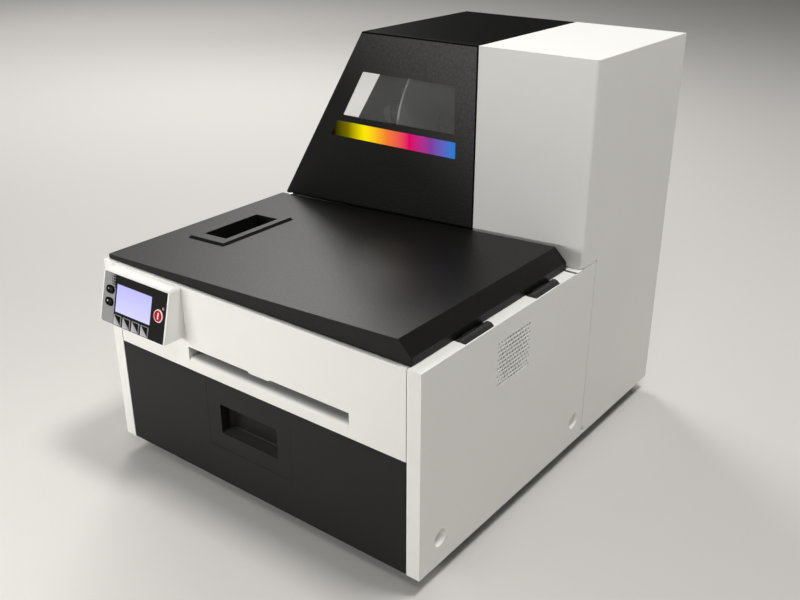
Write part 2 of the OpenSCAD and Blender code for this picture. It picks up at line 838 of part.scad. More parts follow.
module door_handle() {
  x0 = bezel[0];
  z0 = bezel[1];
  x1 = x0 + bezel[2];
  z1 = z0 + bezel[3];
  px1 = pocket_x + pocket_w;
  pz1 = pocket_z + pocket_h;
  color("black") stand() difference() {
    union() {
      box([x0 + fit, 0, z0 + fit], [x1 - fit, sheet + 1, z1 - fit]);
      box([x0 - 3, sheet, z0 - 3], [x1 + 3, sheet + 1.5, z1 + 3]);
      box([pocket_x - 2, sheet, pocket_z - 2], [px1 + 2, pocket_d + 2, pz1 + 2]);
    }
    // pocket with a slanted corner at its left end
    translate([0, 0, pocket_z]) linear_extrude(pocket_h) polygon([[pocket_x, -1], [px1, -1], [px1, pocket_d],
      [pocket_x + pocket_slant, pocket_d], [pocket_x, pocket_d - pocket_slant]]);
  }
}

module engine_plate(x) {
  difference() {
    box([x, plate_y[0], plate_z], [x + plate_t, plate_y[1], side_h - 11]);
    rod_x(x - 1, x + plate_t + 1, feed_y, roller_z, axle_r + run);
    rod_x(x - 1, x + plate_t + 1, exit_y, roller_z, axle_r + run);
    rod_x(x - 1, x + plate_t + 1, feed_y, pinch_z, axle_r + run);
  }
}
pinch_z = roller_z + roller_r + pinch_r + 0.4;

module engine_left_plate() {
  color("silver") stand() engine_plate(plate_l);
}

module engine_right_plate() {
  color("silver") stand() engine_plate(plate_r);
}

module platen() {
  color("dimgray") stand() {
    box([plate_l + plate_t, 120, roller_z - 4], [plate_r, 215, slot_bottom() + 2.5]);
  }
}

module print_head() {
  a = plate_l + plate_t;
  z = slot_bottom() + 6;
  color("darkslategray") stand() {
    box([a, 150, z], [plate_r, 190, z + 14]);
    box([a, 138, z + 14], [plate_r, 202, side_h - 24]);
    box([a + 30, 146, side_h - 24], [plate_r - 30, 194, side_h - 12]);
  }
}

module roller(y, z, r, x1) {
  rod_x(plate_l + plate_t + 1, plate_r - 1, y, z, r);
  rod_x(plate_l - 2, x1, y, z, axle_r);
}

module feed_roller() {
  color("gray") stand() {
    roller(feed_y, roller_z, roller_r, pulley_x + pulley_w + 1);
    rod_x(pulley_x, pulley_x + pulley_w, feed_y, roller_z, pulley_r);
  }
}

module exit_roller() {
  color("gray") stand() {
    roller(exit_y, roller_z, roller_r, pulley_x + pulley_w + 1);
    rod_x(pulley_x, pulley_x + pulley_w, exit_y, roller_z, pulley_r);
  }
}

module pinch_roller() {
  color("dimgray") stand() roller(feed_y, pinch_z, pinch_r, plate_r + plate_t + 2);
}

// Belt outline round three equal pulleys: an arc of points at each, joined by straight runs
pulleys = [[exit_y, roller_z], [motor_y, motor_z], [feed_y, roller_z]];
function outward(i) = atan2(pulleys[(i + 1) % 3][1] - pulleys[i % 3][1],
                            pulleys[(i + 1) % 3][0] - pulleys[i % 3][0]) + 90;
function wrap(i) = (outward(i + 2) - outward(i) + 720) % 360;

module loop(r) {
  steps = 16;
  polygon([for (i = [0 : 2], k = [0 : steps]) let (a = outward(i + 2) - wrap(i) * k / steps)
    pulleys[i] + r * [cos(a), sin(a)]]);
}

module drive_belt() {
  color("black") stand() along_x(pulley_x + 0.5, pulley_x + pulley_w - 0.5) difference() {
    loop(pulley_r + gap + belt_t);
    loop(pulley_r + gap);
  }
}

module feed_motor() {
  s = motor_s / 2;
  color("dimgray") stand() difference() {
    union() {
      box([motor_x, motor_y - s, motor_z - s], [motor_x1, motor_y + s, motor_z + s]);
      rod_x(motor_x - 2, motor_x + 1, motor_y, motor_z, 11);
    }
    rod_x(motor_x - 3, motor_x + 12, motor_y, motor_z, 2.5 + run);
  }
}

module motor_pulley() {
  color("silver") stand() {
    rod_x(pulley_x, pulley_x + pulley_w, motor_y, motor_z, pulley_r);
    rod_x(pulley_x, motor_x + 11, motor_y, motor_z, 2.5);
  }
}

bay_w = half - 42;
tank_step = (2 * bay_w - 6) / 5;
tank_w = tank_step - 9;

module ink_bay() {
  color("dimgray") stand() {
    box([-bay_w, 26, sheet], [bay_w, 152, sheet + 2]);
    box([-bay_w, 150, sheet], [bay_w, 152, 112]);
    for (i = [0 : 5]) {
      box([-bay_w + 1 + i * tank_step, 30, sheet], [-bay_w + 5 + i * tank_step, 152, 40]);
    }
  }
}

module ink_tanks() {
  color("whitesmoke") stand() for (i = [0 : 4]) {
    x = -bay_w + 7 + i * tank_step;
    difference() {
      union() {
        box([x, 30, sheet + 2], [x + tank_w, 148, 100]);
        translate([x + tank_w / 2, 60, 99]) cylinder(r = 12, h = 9);
        box([x + 10, 26, 50], [x + tank_w - 10, 31, 60]);
      }
      box([x + 18, 25, 70], [x + tank_w - 18, 34, 88]);
    }
  }
}

module fan_frame() {
  s = fan_s / 2;
  color("dimgray") stand() difference() {
    union() {
      difference() {
        box([fan_x, vent_y - s, vent_z - s], [inner_x, vent_y + s, vent_z + s]);
        rod_x(fan_x - 1, inner_x + 1, vent_y, vent_z, fan_r);
      }
      rod_x(fan_x, fan_x + 2, vent_y, vent_z, fan_hub);
      for (a = [45, 135]) {
        translate([fan_x, vent_y, vent_z]) rotate([a, 0, 0]) box([0, -fan_r - 1, -1.5], [2, fan_r + 1, 1.5]);
      }
    }
    rod_x(fan_x - 1, fan_x + 3, vent_y, vent_z, pin_r + run);
  }
}

module fan_rotor() {
  color("gray") stand() {
    rod_x(fan_x + 2.5, inner_x - 2, vent_y, vent_z, fan_hub);
    rod_x(fan_x + 0.2, fan_x + 3, vent_y, vent_z, pin_r);
    for (i = [0 : 6]) {
      translate([fan_x + fan_t / 2, vent_y, vent_z]) rotate([i * 360 / 7, 0, 0])
        translate([0, 0, fan_hub - 1]) rotate([0, 0, 40])
        box([-5, -0.6, 0], [5, 0.6, fan_r - fan_hub - 0.6]);
    }
  }
}

module power_supply() {
  color("silver") stand() {
    box([supply_x, inner_y - 140, sheet], [supply_x + 110, inner_y - 12, 84]);
  }
}

module main_board() {
  x = wall_x0 + wall_t;
  y0 = tower_y + 12;
  color("darkgreen") stand() {
    box([x + 6, y0, side_h + 20], [x + 7.6, y0 + 72, tower_h - 30]);
    for (y = [y0 + 5, y0 + 67]) {
      for (z = [side_h + 25, tower_h - 35]) {
        rod_x(x, x + 7, y, z, 3);
      }
    }
    box([x + 7.5, y0 + 20, side_h + 60], [x + 12, y0 + 50, side_h + 90]);
    box([x + 7.5, y0 + 8, side_h + 110], [x + 20, y0 + 18, side_h + 160]);
    box([x + 7.5, y0 + 40, side_h + 120], [x + 16, y0 + 60, side_h + 150]);
  }
}

module power_inlet() {
  color("black") stand() difference() {
    union() {
      box([inlet_x - 13.8, inner_y - 24, inlet_z - 10.3], [inlet_x + 13.8, body_d + 1, inlet_z + 10.3]);
      box([inlet_x - 24, body_d, inlet_z - 14], [inlet_x + 24, body_d + 2.5, inlet_z + 14]);
    }
    difference() {
      box([inlet_x - 12, body_d - 15, inlet_z - 8], [inlet_x + 12, body_d + 3, inlet_z + 8]);
      for (p = [[-7, -2], [0, 2], [7, -2]]) {
        box([inlet_x + p[0] - 1, body_d - 16, inlet_z + p[1] - 2], [inlet_x + p[0] + 1, body_d - 5, inlet_z + p[1] + 2]);
      }
    }
  }
}

module data_ports() {
  color("gray") stand() {
    box([port_x - 12, inner_y - 28, port_z - 12], [port_x + 36, inner_y - 26, port_z + 12]);
    for (i = [0 : 1]) {
      x = port_x + i * 24;
      difference() {
        box([x - 7.8, inner_y - 27, port_z - 6.8], [x + 7.8, body_d + 0.3, port_z + 6.8]);
        box([x - 6, inner_y - 10, port_z - 5], [x + 6, body_d + 1, port_z + 5]);
      }
    }
  }
}

module spindle_bearing() {
  x = wall_x0 + wall_t;
  color("gray") stand() difference() {
    union() {
      rod_x(x, x + 3, spindle_y, spindle_z, spindle_r + 14);
      rod_x(x, x + 14, spindle_y, spindle_z, spindle_r + 8);
    }
    rod_x(x - 1, x + 15, spindle_y, spindle_z, spindle_r + run);
  }
}

module spindle() {
  x = wall_x0 + wall_t;
  color("silver") stand() {
    rod_x(knob_x + 4, x + 20, spindle_y, spindle_z, spindle_r);
    rod_x(x + 14.5, x + 20, spindle_y, spindle_z, spindle_r + 3);
    rod_x(knob_x - 4, knob_x + 5, spindle_y, spindle_z, spindle_r + 2);
    rod_x(knob_x - 13, knob_x - 3, spindle_y, spindle_z, 5);
  }
}

module fixed_flange() {
  color("gray") stand() difference() {
    union() {
      rod_x(wall_x0 - 9, wall_x0 - 6, spindle_y, spindle_z, flange_r);
      rod_x(wall_x0 - 9, wall_x0 - 2, spindle_y, spindle_z, spindle_r + 8);
    }
    rod_x(wall_x0 - 10, wall_x0, spindle_y, spindle_z, spindle_r + run);
  }
}

module sliding_flange() {
  color("gray") stand() difference() {
    union() {
      rod_x(slide_x, slide_x + 3, spindle_y, spindle_z, flange_r);
      rod_x(slide_x - 22, slide_x + 1, spindle_y, spindle_z, spindle_r + 8);
      rod_x(slide_x - 18, slide_x - 6, spindle_y, spindle_z, spindle_r + 11);
    }
    rod_x(slide_x - 23, slide_x + 4, spindle_y, spindle_z, spindle_r + run);
  }
}

base_tray();
feet();
left_side_panel();
right_side_panel();
front_panel();
engine_deck();
media_deck();
rear_panel();
tower_shell();
tower_top();
media_wall();
lid_hinge_brackets();
cover_hinge_brackets();
hinge_pins();
door_pivots();
panel_housing();
panel_overlay();
display();
power_lamp();
engine_left_plate();
engine_right_plate();
platen();
print_head();
feed_motor();
drive_belt();
ink_bay();
ink_tanks();
fan_frame();
power_supply();
main_board();
power_inlet();
data_ports();
spindle_bearing();
rear_screws();
lid();
lid_handle();
lid_hinge_leaves();
media_cover();
cover_top();
front_window();
side_window();
colour_strip();
cover_hinge_leaves();
front_door();
door_handle();
soft_key_1();
soft_key_2();
soft_key_3();
soft_key_4();
upper_menu_key();
lower_menu_key();
power_button();
spindle();
fixed_flange();
sliding_flange();
feed_roller();
pinch_roller();
exit_roller();
motor_pulley();
fan_rotor();
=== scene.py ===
import json
import math
import bmesh
import bpy
import numpy as np
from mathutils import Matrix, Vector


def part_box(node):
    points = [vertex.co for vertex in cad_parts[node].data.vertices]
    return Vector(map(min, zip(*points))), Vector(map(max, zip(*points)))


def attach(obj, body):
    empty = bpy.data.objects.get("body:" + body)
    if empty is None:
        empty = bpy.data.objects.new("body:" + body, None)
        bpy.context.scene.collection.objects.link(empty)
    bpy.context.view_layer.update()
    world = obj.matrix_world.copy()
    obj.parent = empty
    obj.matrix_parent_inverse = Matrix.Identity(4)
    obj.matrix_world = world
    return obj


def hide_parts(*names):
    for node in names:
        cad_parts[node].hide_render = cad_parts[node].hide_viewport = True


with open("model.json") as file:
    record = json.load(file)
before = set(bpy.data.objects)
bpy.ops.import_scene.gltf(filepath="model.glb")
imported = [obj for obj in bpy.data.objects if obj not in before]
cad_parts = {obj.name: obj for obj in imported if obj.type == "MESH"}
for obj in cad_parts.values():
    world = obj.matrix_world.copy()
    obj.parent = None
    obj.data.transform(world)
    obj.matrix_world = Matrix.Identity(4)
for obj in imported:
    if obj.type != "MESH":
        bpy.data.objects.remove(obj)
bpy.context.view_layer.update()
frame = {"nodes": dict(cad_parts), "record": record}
nodes = frame["nodes"]
mm = 0.001
print("frame loaded with", len(nodes), "nodes")

# Control panel face: u runs along it, v up it, both in millimetres from its lower left corner
faceLow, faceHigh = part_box("panel_housing")
panelFace = {
    "depthBottom": 29.0,
    "depthTop": 14.0,
    "height": 57.6,
}
faceTilt = math.atan2(panelFace["depthBottom"] - panelFace["depthTop"], panelFace["height"])
faceCorner = (faceLow[0], faceHigh[1] - panelFace["depthBottom"] * mm, faceLow[2])


def facePoint(u, v):
    y = v * math.sin(faceTilt)
    z = v * math.cos(faceTilt)
    return (faceCorner[0] + u * mm, faceCorner[1] + y * mm, faceCorner[2] + z * mm)


# Shader building blocks

def startMaterial(name, roughness=0.5, metallic=0.0, specular=0.5):
    material = bpy.data.materials.new(name)
    material.use_nodes = True
    tree = material.node_tree
    tree.nodes.clear()
    output = tree.nodes.new("ShaderNodeOutputMaterial")
    shader = put(tree, "ShaderNodeBsdfPrincipled", {
        "Roughness": roughness, "Metallic": metallic, "Specular IOR Level": specular})
    tree.links.new(shader.outputs["BSDF"], output.inputs["Surface"])
    coord = tree.nodes.new("ShaderNodeTexCoord")
    return material, tree, shader, coord.outputs["Object"]


# A socket is linked, and a plain value is set
def feed(tree, node, values):
    for key, value in values.items():
        if hasattr(value, "is_linked"):
            tree.links.new(value, node.inputs[key])
        else:
            node.inputs[key].default_value = value


def put(tree, kind, values=None, **settings):
    node = tree.nodes.new(kind)
    for key, value in settings.items():
        setattr(node, key, value)
    feed(tree, node, values or {})
    return node


def calc(tree, operation, a, b=0.0, clamp=False):
    return put(tree, "ShaderNodeMath", {0: a, 1: b}, operation=operation, use_clamp=clamp).outputs[0]


# A value carried from one range to another, straight or with a smooth start and end
def remap(tree, value, fromLow, fromHigh, toLow=0.0, toHigh=1.0, smooth=False):
    kind = "SMOOTHSTEP" if smooth else "LINEAR"
    limits = {0: value, 1: fromLow, 2: fromHigh, 3: toLow, 4: toHigh}
    return put(tree, "ShaderNodeMapRange", limits, interpolation_type=kind).outputs[0]


# Noise stays mostly within its middle half, so that half is spread over the wanted range
def spread(tree, value, low, high):
    return remap(tree, value, 0.25, 0.75, low, high)


def noise(tree, vector, scale, detail=2.0):
    values = {"Vector": vector, "Scale": scale, "Detail": detail}
    return put(tree, "ShaderNodeTexNoise", values).outputs


def bump(tree, height, depth, reach):
    values = {"Strength": depth, "Distance": reach, "Height": height}
    return put(tree, "ShaderNodeBump", values).outputs["Normal"]


def vectorMath(tree, operation, a, b):
    return put(tree, "ShaderNodeVectorMath", {0: a, 1: b}, operation=operation).outputs[0]


def split(tree, vector):
    return put(tree, "ShaderNodeSeparateXYZ", {"Vector": vector}).outputs


# Distance from the zero point, as the root of the sum of squares
def distance(tree, a, b):
    return calc(tree, "SQRT", calc(tree, "ADD", calc(tree, "MULTIPLY", a, a), calc(tree, "MULTIPLY", b, b)))


def mixTone(tree, factor, first, second):
    node = put(tree, "ShaderNodeMix", data_type="RGBA")
    for key, value in (("Factor_Float", factor), ("A_Color", first), ("B_Color", second)):
        socket = next(s for s in node.inputs if s.identifier == key)
        if hasattr(value, "is_linked"):
            tree.links.new(value, socket)
        else:
            socket.default_value = value if isinstance(value, float) else (*value[:3], 1.0)
    return next(s for s in node.outputs if s.identifier == "Result_Color")


# Row of colours, each with its place from 0 to 1
def colourRow(tree, value, inks, interpolation="LINEAR"):
    node = put(tree, "ShaderNodeValToRGB", {"Fac": value})
    node.color_ramp.interpolation = interpolation
    stops = node.color_ramp.elements
    while len(stops) < len(inks):
        stops.new(0.5)
    for stop, (place, colour) in zip(stops, inks):
        stop.position = place
        stop.color = (*colour, 1.0)
    return node.outputs["Color"]


def startGroup(name, inputs, outputs):
    group = bpy.data.node_groups.new(name, "ShaderNodeTree")
    for label, kind in inputs:
        group.interface.new_socket(name=label, in_out="INPUT", socket_type=kind)
    for label, kind in outputs:
        group.interface.new_socket(name=label, in_out="OUTPUT", socket_type=kind)
    source = group.nodes.new("NodeGroupInput")
    target = group.nodes.new("NodeGroupOutput")
    return group, source.outputs, target


def useGroup(tree, group, vector, **values):
    return put(tree, "ShaderNodeGroup", {"Vector": vector, **values}, node_tree=group).outputs


# Fine powder coat: small bumps, and a slow drift of tone over the sheet
powder = {
    "grainDetail": 3.0,
    "driftDetail": 4.0,
    "bumpReach": 0.4 * mm,
    "roughSwing": 0.04,
}


def makePowderGroup(look):
    group, given, result = startGroup(
        "powder coat",
        [("Vector", "NodeSocketVector"), ("Grain", "NodeSocketFloat"), ("Depth", "NodeSocketFloat"),
         ("Drift", "NodeSocketFloat")],
        [("Normal", "NodeSocketVector"), ("Tone", "NodeSocketFloat"), ("Speck", "NodeSocketFloat")])
    grain = noise(group, given["Vector"], given["Grain"], look["grainDetail"])
    drift = noise(group, given["Vector"], given["Drift"], look["driftDetail"])
    normal = bump(group, grain["Fac"], given["Depth"], look["bumpReach"])
    feed(group, result, {"Normal": normal, "Tone": drift["Fac"], "Speck": grain["Fac"]})
    return group


# Crackle coat: cells of coat parted by thin creases, over a fine grain
crackle = {
    "warpScale": 150.0,
    "warpReach": 3.0 * mm,
    "creaseWidth": 0.12,
    "grainScale": 1400.0,
    "grainShare": 0.1,
    "driftDetail": 3.0,
    "bumpReach": 0.5 * mm,
    "roughSwing": 0.03,
    "edgeRough": 0.5,
}


def makeCrackleGroup(look):
    group, given, result = startGroup(
        "crackle coat",
        [("Vector", "NodeSocketVector"), ("Cell", "NodeSocketFloat"), ("Depth", "NodeSocketFloat"),
         ("Drift", "NodeSocketFloat")],
        [("Normal", "NodeSocketVector"), ("Crease", "NodeSocketFloat"), ("Tone", "NodeSocketFloat")])
    warp = noise(group, given["Vector"], look["warpScale"])
    bent = vectorMath(group, "MULTIPLY", warp["Color"], (look["warpReach"],) * 3)
    moved = vectorMath(group, "ADD", given["Vector"], bent)
    cells = put(group, "ShaderNodeTexVoronoi", {"Vector": moved, "Scale": given["Cell"]},
                feature="DISTANCE_TO_EDGE")
    crease = remap(group, cells.outputs["Distance"], 0.0, look["creaseWidth"], smooth=True)
    grain = noise(group, given["Vector"], look["grainScale"])
    height = calc(group, "ADD", calc(group, "MULTIPLY", grain["Fac"], look["grainShare"]), crease)
    drift = noise(group, given["Vector"], given["Drift"], look["driftDetail"])
    normal = bump(group, height, given["Depth"], look["bumpReach"])
    feed(group, result, {"Normal": normal, "Crease": crease, "Tone": drift["Fac"]})
    return group


# Brushed metal: fine lines along one axis of the coordinates
brush = {
    "detail": 5.0,
    "bumpReach": 0.2 * mm,
    "rougher": 0.08,
    "smoother": 0.05,
}


def makeBrushGroup(look):
    group, given, result = startGroup(
        "brushed lines",
        [("Vector", "NodeSocketVector"), ("Stretch", "NodeSocketVector"), ("Depth", "NodeSocketFloat")],
        [("Normal", "NodeSocketVector"), ("Line", "NodeSocketFloat")])
    scaled = vectorMath(group, "MULTIPLY", given["Vector"], given["Stretch"])
    lines = noise(group, scaled, 1.0, look["detail"])
    normal = bump(group, lines["Fac"], given["Depth"], look["bumpReach"])
    feed(group, result, {"Normal": normal, "Line": lines["Fac"]})
    return group


powderGroup = makePowderGroup(powder)
crackleGroup = makeCrackleGroup(crackle)
brushGroup = makeBrushGroup(brush)


def coatMaterial(name, look):
    material, tree, shader, coord = startMaterial(name, look["rough"], 0.0, look.get("specular", 0.5))
    coat = useGroup(tree, powderGroup, coord, Grain=look["grain"], Depth=look["depth"], Drift=look["drift"])
    smoother = look["rough"] - powder["roughSwing"]
    rougher = look["rough"] + powder["roughSwing"]
    feed(tree, shader, {
        "Base Color": mixTone(tree, coat["Tone"], look["dark"], look["light"]),
        "Normal": coat["Normal"],
        "Roughness": spread(tree, coat["Speck"], smoother, rougher)})
    return material


# Crackle cover: the upper right part is painted much lighter as a painted sheen, a little darker in the
# creases, so the crackle shows there only; its rolled top and right edges are matt and painted darker as
# painted shade
def crackleMaterial(name, look):
    material, tree, shader, coord = startMaterial(name, look["rough"], 0.0, look["specular"])
    coat = useGroup(tree, crackleGroup, coord, Cell=look["cell"], Depth=look["depth"], Drift=look["drift"])
    place = split(tree, coord)
    low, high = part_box("media_cover")
    across = remap(tree, place["X"], low[0], high[0])
    up = remap(tree, place["Z"], low[2], high[2])
    # painted sheen: share of the lighter tone, growing towards the upper right of the cover
    paintedSheenShare = remap(tree, calc(tree, "ADD", across, up), look["fadeStart"], look["fadeEnd"], smooth=True)
    plain = mixTone(tree, coat["Tone"], look["dark"], look["light"])
    paintedSheen = mixTone(tree, coat["Crease"], look["crease"], look["paintedSheen"])
    # painted shade: a band along the top and right edges is painted darker, and also made matt
    topEdge = calc(tree, "GREATER_THAN", place["Z"], high[2] - look["edge"])
    rightEdge = calc(tree, "GREATER_THAN", place["X"], high[0] - look["edge"])
    edge = calc(tree, "MAXIMUM", topEdge, rightEdge)
    swing = crackle["roughSwing"]
    even = spread(tree, coat["Tone"], look["rough"] + swing, look["rough"] - swing)
    matt = calc(tree, "MULTIPLY", edge, crackle["edgeRough"])
    feed(tree, shader, {
        "Base Color": mixTone(tree, edge, mixTone(tree, paintedSheenShare, plain, paintedSheen), look["paintedEdgeShade"]),
        "Normal": coat["Normal"],
        "Roughness": calc(tree, "ADD", even, matt, True)})
    return material


def brushedMaterial(name, look):
    material, tree, shader, coord = startMaterial(name, look["rough"], 1.0)
    lines = useGroup(tree, brushGroup, coord, Stretch=look["stretch"], Depth=look["depth"])
    rougher = look["rough"] + brush["rougher"]
    smoother = look["rough"] - brush["smoother"]
    feed(tree, shader, {
        "Base Color": mixTone(tree, lines["Line"], look["dark"], look["light"]),
        "Normal": lines["Normal"],
        "Roughness": spread(tree, lines["Line"], rougher, smoother)})
    return material


# Coats, plastics and metals of the cabinet
doorCoat = {
    "dark": (0.008, 0.0078, 0.0074), "light": (0.0105, 0.0102, 0.0096), "rough": 0.5, "grain": 900.0,
    "depth": 0.14, "drift": 4.0, "specular": 0.2,
}
finishes = {
    "whitePaint": coatMaterial("white powder coat", {
        "dark": (0.76, 0.75, 0.722), "light": (0.82, 0.81, 0.782), "rough": 0.48, "grain": 1100.0,
        "depth": 0.12, "drift": 5.0}),
    "whitePlastic": coatMaterial("white moulding", {
        "dark": (0.74, 0.732, 0.708), "light": (0.79, 0.782, 0.758), "rough": 0.38, "grain": 1600.0,
        "depth": 0.06, "drift": 9.0}),
    "blackLid": coatMaterial("black lid coat", {
        "dark": (0.004, 0.0039, 0.0036), "light": (0.0055, 0.0053, 0.005), "rough": 0.43, "grain": 520.0,
        "depth": 0.4, "drift": 4.0, "specular": 0.17}),
    "blackCover": crackleMaterial("black crackle coat", {
        # the upper tone and the crease tone are a painted sheen over the upper right part
        "dark": (0.004, 0.004, 0.0038), "light": (0.006, 0.0059, 0.0056), "paintedSheen": (0.078, 0.077, 0.075),
        # the edge tone is painted shade on the rolled top and right edges
        "crease": (0.055, 0.054, 0.0525), "paintedEdgeShade": (0.002, 0.002, 0.002), "rough": 0.48, "specular": 0.12,
        "cell": 175.0, "depth": 0.12, "drift": 4.0, "fadeStart": 0.95, "fadeEnd": 2.0, "edge": 1.8 * mm}),
    "blackTop": coatMaterial("black top coat", {
        "dark": (0.003, 0.003, 0.003), "light": (0.0042, 0.0042, 0.004), "rough": 0.37, "grain": 900.0,
        "depth": 0.1, "drift": 4.0, "specular": 0.005}),
    "blackDoor": coatMaterial("black door coat", doorCoat),
    "blackPlastic": coatMaterial("black moulding", {
        "dark": (0.018, 0.018, 0.0175), "light": (0.024, 0.024, 0.0235), "rough": 0.42, "grain": 1500.0,
        "depth": 0.1, "drift": 12.0}),
    "hingeCoat": coatMaterial("black hinge coat", {
        "dark": (0.012, 0.012, 0.012), "light": (0.018, 0.018, 0.018), "rough": 0.38, "grain": 1500.0,
        "depth": 0.08, "drift": 20.0}),
    "greyPlastic": coatMaterial("grey moulding", {
        "dark": (0.3, 0.31, 0.315), "light": (0.36, 0.365, 0.37), "rough": 0.4, "grain": 1500.0,
        "depth": 0.06, "drift": 12.0}),
    "rubber": coatMaterial("black rubber", {
        "dark": (0.022, 0.022, 0.022), "light": (0.034, 0.034, 0.034), "rough": 0.75, "grain": 2200.0,
        "depth": 0.2, "drift": 25.0}),
    "motorCoat": coatMaterial("motor enamel", {
        "dark": (0.05, 0.052, 0.056), "light": (0.075, 0.078, 0.082), "rough": 0.35, "grain": 1500.0,
        "depth": 0.06, "drift": 18.0}),
    "dullMetal": coatMaterial("dull spindle metal", {
        "dark": (0.1, 0.102, 0.1), "light": (0.13, 0.132, 0.13), "rough": 0.6, "grain": 1500.0,
        "depth": 0.06, "drift": 12.0, "specular": 0.3}),
    "brightSteel": brushedMaterial("bright steel", {
        "dark": (0.5, 0.5, 0.51), "light": (0.68, 0.68, 0.69), "rough": 0.28,
        "stretch": (200.0, 1800.0, 1800.0), "depth": 0.1}),
    "satinAluminium": brushedMaterial("satin aluminium", {
        "dark": (0.55, 0.56, 0.57), "light": (0.72, 0.73, 0.74), "rough": 0.34,
        "stretch": (900.0, 120.0, 900.0), "depth": 0.12}),
}

# Door handle: the coat of the door, painted paler on the floor of its finger pocket as painted light
handle = {
    **doorCoat,
    "paintedPocketLight": (0.04, 0.039, 0.037),
    "faceDepth": 0.6 * mm,
}


def makeHandle(look):
    material, tree, shader, coord = startMaterial("door handle coat", look["rough"], 0.0, look["specular"])
    coat = useGroup(tree, powderGroup, coord, Grain=look["grain"], Depth=look["depth"], Drift=look["drift"])
    openings = frame["record"]["physics"]["openings"]
    pocket = next(opening["box_m"] for opening in openings if opening["name"] == "handle_pocket")
    place = split(tree, coord)
    onFloor = calc(tree, "LESS_THAN", place["Z"], pocket[0][2])
    behindFace = calc(tree, "GREATER_THAN", place["Y"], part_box("door_handle")[0][1] + look["faceDepth"])
    tone = mixTone(tree, coat["Tone"], look["dark"], look["light"])
    # painted light: the floor of the finger pocket, behind the handle's face, is painted paler
    paintedPocketLight = calc(tree, "MULTIPLY", onFloor, behindFace)
    feed(tree, shader, {
        "Base Color": mixTone(tree, paintedPocketLight, tone, look["paintedPocketLight"]),
        "Normal": coat["Normal"]})
    return material


# Zinc plated sheet: cells of slightly different grey, as crystals of the plating
zinc = {
    "cell": 160.0,
    "dark": (0.46, 0.47, 0.48),
    "light": (0.62, 0.63, 0.64),
    "rough": (0.3, 0.45),
}


def makeZinc(look):
    material, tree, shader, coord = startMaterial("zinc plated sheet", metallic=1.0)
    cells = put(tree, "ShaderNodeTexVoronoi", {"Vector": coord, "Scale": look["cell"]})
    shade = put(tree, "ShaderNodeSeparateColor", {"Color": cells.outputs["Color"]}).outputs
    feed(tree, shader, {
        "Base Color": mixTone(tree, shade[0], look["dark"], look["light"]),
        "Roughness": spread(tree, shade[1], *look["rough"])})
    return material


# Ink tanks: milky plastic, darker where the ink stands behind the wall
tank = {
    "inkLevel": 60.0 * mm,
    "levelBlur": 4.0 * mm,
    "gap": 9.0 * mm,
    "inks": [(0.02, 0.02, 0.02), (0.0, 0.24, 0.42), (0.4, 0.02, 0.18), (0.6, 0.42, 0.02),
             (0.02, 0.02, 0.022)],
    "dark": (0.62, 0.62, 0.6),
    "light": (0.7, 0.7, 0.68),
    "milk": 0.55,
    "rough": 0.35,
}


def makeTank(look):
    material, tree, shader, coord = startMaterial("ink tank wall", look["rough"])
    place = split(tree, coord)
    low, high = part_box("ink_tanks")
    inkTop = low[2] + look["inkLevel"]
    above = remap(tree, place["Z"], inkTop, inkTop + look["levelBlur"])
    count = len(look["inks"])
    pitch = (high[0] - low[0] + look["gap"]) / count
    index = calc(tree, "FLOOR", calc(tree, "DIVIDE", calc(tree, "SUBTRACT", place["X"], low[0]), pitch))
    # each ink's stop lies a quarter of a step before its tank's own value
    inks = [(max(0.0, (i - 0.25) / count), ink) for i, ink in enumerate(look["inks"])]
    colour = colourRow(tree, calc(tree, "DIVIDE", index, float(count)), inks, "CONSTANT")
    wall = useGroup(tree, powderGroup, coord, Grain=900.0, Depth=0.05, Drift=14.0)
    milky = mixTone(tree, wall["Tone"], look["dark"], look["light"])
    inky = mixTone(tree, look["milk"], colour, milky)
    feed(tree, shader, {"Base Color": mixTone(tree, above, inky, milky), "Normal": wall["Normal"]})
    return material


# Circuit board: green mask with pale tracks on a grid
board = {
    "trackScale": 60.0,
    "trackWidth": 0.03,
    "mask": (0.012, 0.09, 0.035, 1.0),
    "secondMask": (0.016, 0.11, 0.045, 1.0),
    "track": (0.05, 0.22, 0.1, 1.0),
    "rough": 0.4,
}


def makeBoard(look):
    material, tree, shader, coord = startMaterial("circuit board", look["rough"])
    tracks = put(tree, "ShaderNodeTexBrick", {
        "Vector": coord, "Scale": look["trackScale"], "Mortar Size": look["trackWidth"],
        "Color1": look["mask"], "Color2": look["secondMask"], "Mortar": look["track"]})
    mask = useGroup(tree, powderGroup, coord, Grain=700.0, Depth=0.05, Drift=20.0)
    feed(tree, shader, {"Base Color": tracks.outputs["Color"], "Normal": mask["Normal"]})
    return material


# Windows: clear sheets with a faint pale haze
windows = {
    "frontVeil": 0.07,
    "sideVeil": 0.04,
    "veilSwing": 0.1,
    "hazeScale": 14.0,
    "hazeDetail": 3.0,
    "dark": (0.7, 0.71, 0.68),
    "light": (0.78, 0.79, 0.76),
    "rough": 0.05,
}


def makeWindow(name, veil, look):
    material, tree, shader, coord = startMaterial(name, look["rough"])
    haze = noise(tree, coord, look["hazeScale"], look["hazeDetail"])["Fac"]
    feed(tree, shader, {
        "Base Color": mixTone(tree, haze, look["dark"], look["light"]),
        "Alpha": spread(tree, haze, veil * (1.0 - look["veilSwing"]), veil * (1.0 + look["veilSwing"]))})
    return material


